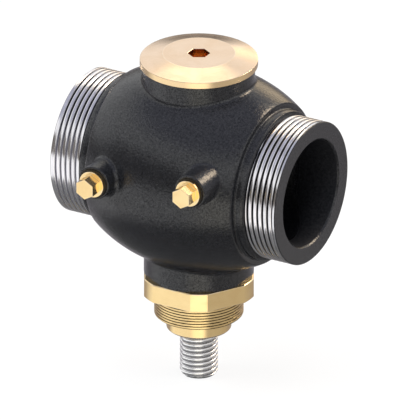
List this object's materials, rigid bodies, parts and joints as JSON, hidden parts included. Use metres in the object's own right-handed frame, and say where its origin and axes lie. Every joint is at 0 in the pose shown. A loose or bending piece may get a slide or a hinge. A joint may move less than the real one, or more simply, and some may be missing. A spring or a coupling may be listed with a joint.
{
  "type": "two-way control valve",
  "caption": "Two-way control valve with a black cast body, external pipe threads, brass closing plug, two test plugs and a threaded stem below.",
  "frame": {"origin": "centre of the outlet port's end face", "axes": "+X out of the outlet along the pipe, +Z from the stem towards the closing plug, -Y towards the side with the test plugs"},
  "size_m": [0.105, 0.0965, 0.1424],
  "materials": {
    "cast_iron": "satin",
    "brass": "satin",
    "stainless": "satin",
    "bright_steel": "polished",
    "seal_rubber": "matte",
    "packing": "matte"
  },
  "bodies": {
    "housing": {"valve_body": "cast_iron", "top_plug": "brass", "top_plug_seal": "seal_rubber", "inlet_test_plug": "brass", "outlet_test_plug": "brass", "inlet_test_seal": "seal_rubber", "outlet_test_seal": "seal_rubber", "seat_ring": "stainless", "bonnet": "brass", "bonnet_seal": "seal_rubber", "stem_bush": "packing", "upper_disc_spring": "stainless", "lower_disc_spring": "stainless", "packing_washer": "stainless", "packing_ring_1": "packing", "packing_ring_2": "packing", "packing_ring_3": "packing", "gland_nut": "brass", "gland_seal": "seal_rubber", "wiper_ring": "seal_rubber"},
    "stem": {"stem": "stainless", "stem_head": "bright_steel", "cone": "stainless", "cone_seal": "seal_rubber", "cone_washer": "stainless", "cone_nut": "stainless"}
  },
  "joints": [
    {"name": "stem_slide", "type": "slide", "parent": "housing", "child": "stem", "axis": [0, 0, 1], "range_m": [0, 0.015]}
  ]
}
